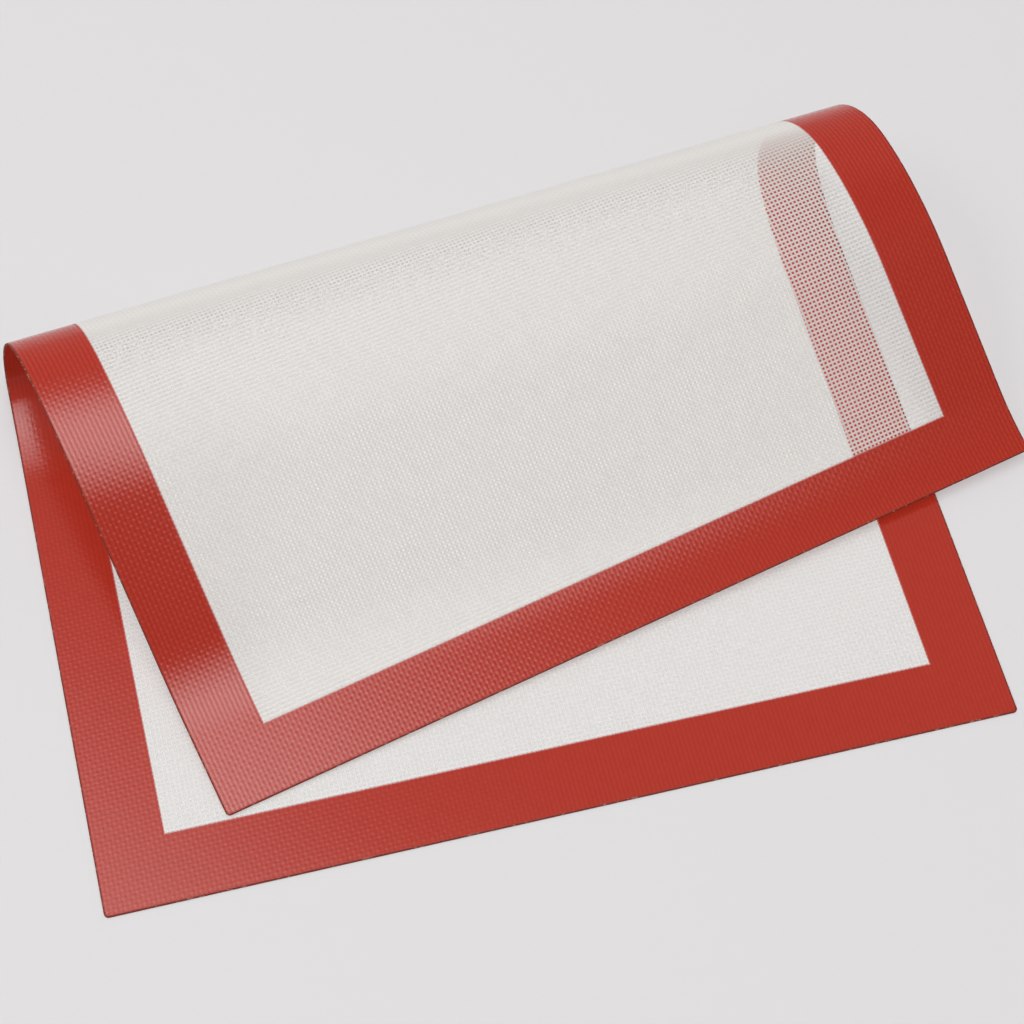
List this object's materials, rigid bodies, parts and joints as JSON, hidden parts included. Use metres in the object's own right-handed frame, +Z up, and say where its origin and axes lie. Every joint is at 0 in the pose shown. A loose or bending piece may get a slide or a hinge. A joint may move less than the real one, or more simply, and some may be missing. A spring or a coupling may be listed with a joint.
{
  "type": "silicone baking mat",
  "caption": "Thin rectangular silicone baking mat with a see-through glass weave field and a red border, folded over once into a loose loop.",
  "frame": {"origin": "on the underside, in the middle of the leaf that lies flat, half way along it and half way across", "axes": "+Z up from the underside, +X to the right along the front edge, +Y from the front edge back towards the fold"},
  "size_m": [0.3297, 0.224, 0.0511],
  "materials": {
    "glass_cloth": "open plain weave of glass yarn, soaked with silicone",
    "clear_silicone": "clear, satin gloss, with the weave showing through",
    "red_silicone": "opaque red, glossy, with the weave in low relief"
  },
  "bodies": {
    "lower_leaf": {"cloth_lower_leaf": "glass_cloth", "under_coat_lower_leaf": "clear_silicone", "upper_coat_lower_leaf": "clear_silicone", "border_lower_leaf": "red_silicone"},
    "bend_01": {"cloth_bend_01": "glass_cloth", "under_coat_bend_01": "clear_silicone", "upper_coat_bend_01": "clear_silicone", "border_bend_01": "red_silicone"},
    "bend_02": {"cloth_bend_02": "glass_cloth", "under_coat_bend_02": "clear_silicone", "upper_coat_bend_02": "clear_silicone", "border_bend_02": "red_silicone"},
    "bend_03": {"cloth_bend_03": "glass_cloth", "under_coat_bend_03": "clear_silicone", "upper_coat_bend_03": "clear_silicone", "border_bend_03": "red_silicone"},
    "bend_04": {"cloth_bend_04": "glass_cloth", "under_coat_bend_04": "clear_silicone", "upper_coat_bend_04": "clear_silicone", "border_bend_04": "red_silicone"},
    "bend_05": {"cloth_bend_05": "glass_cloth", "under_coat_bend_05": "clear_silicone", "upper_coat_bend_05": "clear_silicone", "border_bend_05": "red_silicone"},
    "bend_06": {"cloth_bend_06": "glass_cloth", "under_coat_bend_06": "clear_silicone", "upper_coat_bend_06": "clear_silicone", "border_bend_06": "red_silicone"},
    "bend_07": {"cloth_bend_07": "glass_cloth", "under_coat_bend_07": "clear_silicone", "upper_coat_bend_07": "clear_silicone", "border_bend_07": "red_silicone"},
    "bend_08": {"cloth_bend_08": "glass_cloth", "under_coat_bend_08": "clear_silicone", "upper_coat_bend_08": "clear_silicone", "border_bend_08": "red_silicone"},
    "bend_09": {"cloth_bend_09": "glass_cloth", "under_coat_bend_09": "clear_silicone", "upper_coat_bend_09": "clear_silicone", "border_bend_09": "red_silicone"},
    "bend_10": {"cloth_bend_10": "glass_cloth", "under_coat_bend_10": "clear_silicone", "upper_coat_bend_10": "clear_silicone", "border_bend_10": "red_silicone"},
    "bend_11": {"cloth_bend_11": "glass_cloth", "under_coat_bend_11": "clear_silicone", "upper_coat_bend_11": "clear_silicone", "border_bend_11": "red_silicone"},
    "bend_12": {"cloth_bend_12": "glass_cloth", "under_coat_bend_12": "clear_silicone", "upper_coat_bend_12": "clear_silicone", "border_bend_12": "red_silicone"},
    "free_end": {"cloth_free_end": "glass_cloth", "under_coat_free_end": "clear_silicone", "upper_coat_free_end": "clear_silicone", "border_free_end": "red_silicone"}
  },
  "joints": [
    {"name": "unfold_01", "type": "hinge", "parent": "lower_leaf", "child": "bend_01", "pos_m": [0, 0.09204, 0.00075], "axis": [-0.9938, -0.1115, 0], "range_deg": [0, 10]},
    {"name": "unfold_02", "type": "hinge", "parent": "bend_01", "child": "bend_02", "pos_m": [0.00002, 0.1064, 0.00327], "axis": [-0.9938, -0.1115, 0], "range_deg": [0, 10]},
    {"name": "unfold_03", "type": "hinge", "parent": "bend_02", "child": "bend_03", "pos_m": [0.00009, 0.11613, 0.00678], "axis": [-0.9938, -0.1115, 0], "range_deg": [0, 29]},
    {"name": "unfold_04", "type": "hinge", "parent": "bend_03", "child": "bend_04", "pos_m": [0.00033, 0.12016, 0.01137], "axis": [-0.9938, -0.1115, 0], "range_deg": [0, 29]},
    {"name": "unfold_05", "type": "hinge", "parent": "bend_04", "child": "bend_05", "pos_m": [0.00108, 0.12203, 0.0197], "axis": [-0.9938, -0.1115, 0], "range_deg": [0, 21]},
    {"name": "unfold_06", "type": "hinge", "parent": "bend_05", "child": "bend_06", "pos_m": [0.00249, 0.12046, 0.03054], "axis": [-0.9938, -0.1115, 0], "range_deg": [0, 21]},
    {"name": "unfold_07", "type": "hinge", "parent": "bend_06", "child": "bend_07", "pos_m": [0.00433, 0.11514, 0.04005], "axis": [-0.9938, -0.1115, 0], "range_deg": [0, 21]},
    {"name": "unfold_08", "type": "hinge", "parent": "bend_07", "child": "bend_08", "pos_m": [0.0065, 0.10681, 0.04695], "axis": [-0.9938, -0.1115, 0], "range_deg": [0, 21]},
    {"name": "unfold_09", "type": "hinge", "parent": "bend_08", "child": "bend_09", "pos_m": [0.00889, 0.09657, 0.05034], "axis": [-0.9938, -0.1115, 0], "range_deg": [0, 21]},
    {"name": "unfold_10", "type": "hinge", "parent": "bend_09", "child": "bend_10", "pos_m": [0.01261, 0.08023, 0.04947], "axis": [-0.9938, -0.1115, 0], "range_deg": [0, 13.5]},
    {"name": "unfold", "type": "hinge", "parent": "bend_10", "child": "bend_11", "pos_m": [0.01749, 0.05918, 0.04311], "axis": [-0.9938, -0.1115, 0], "range_deg": [0, 13.5]},
    {"name": "unfold_12", "type": "hinge", "parent": "bend_11", "child": "bend_12", "pos_m": [0.0314, 0.00225, 0.01042], "axis": [0.9938, 0.1115, 0], "range_deg": [0, 11.6]},
    {"name": "unfold_13", "type": "hinge", "parent": "bend_12", "child": "free_end", "pos_m": [0.03448, -0.01093, 0.00595], "axis": [0.9938, 0.1115, 0], "range_deg": [0, 11.6]}
  ],
  "couplings": [
    {"joint": "unfold_01", "follows": "unfold", "ratio": 0.74074},
    {"joint": "unfold_02", "follows": "unfold", "ratio": 0.74074},
    {"joint": "unfold_03", "follows": "unfold", "ratio": 2.1481},
    {"joint": "unfold_04", "follows": "unfold", "ratio": 2.1481},
    {"joint": "unfold_05", "follows": "unfold", "ratio": 1.5556},
    {"joint": "unfold_06", "follows": "unfold", "ratio": 1.5556},
    {"joint": "unfold_07", "follows": "unfold", "ratio": 1.5556},
    {"joint": "unfold_08", "follows": "unfold", "ratio": 1.5556},
    {"joint": "unfold_09", "follows": "unfold", "ratio": 1.5556},
    {"joint": "unfold_10", "follows": "unfold", "ratio": 1},
    {"joint": "unfold_12", "follows": "unfold", "ratio": 0.85926},
    {"joint": "unfold_13", "follows": "unfold", "ratio": 0.85926}
  ]
}
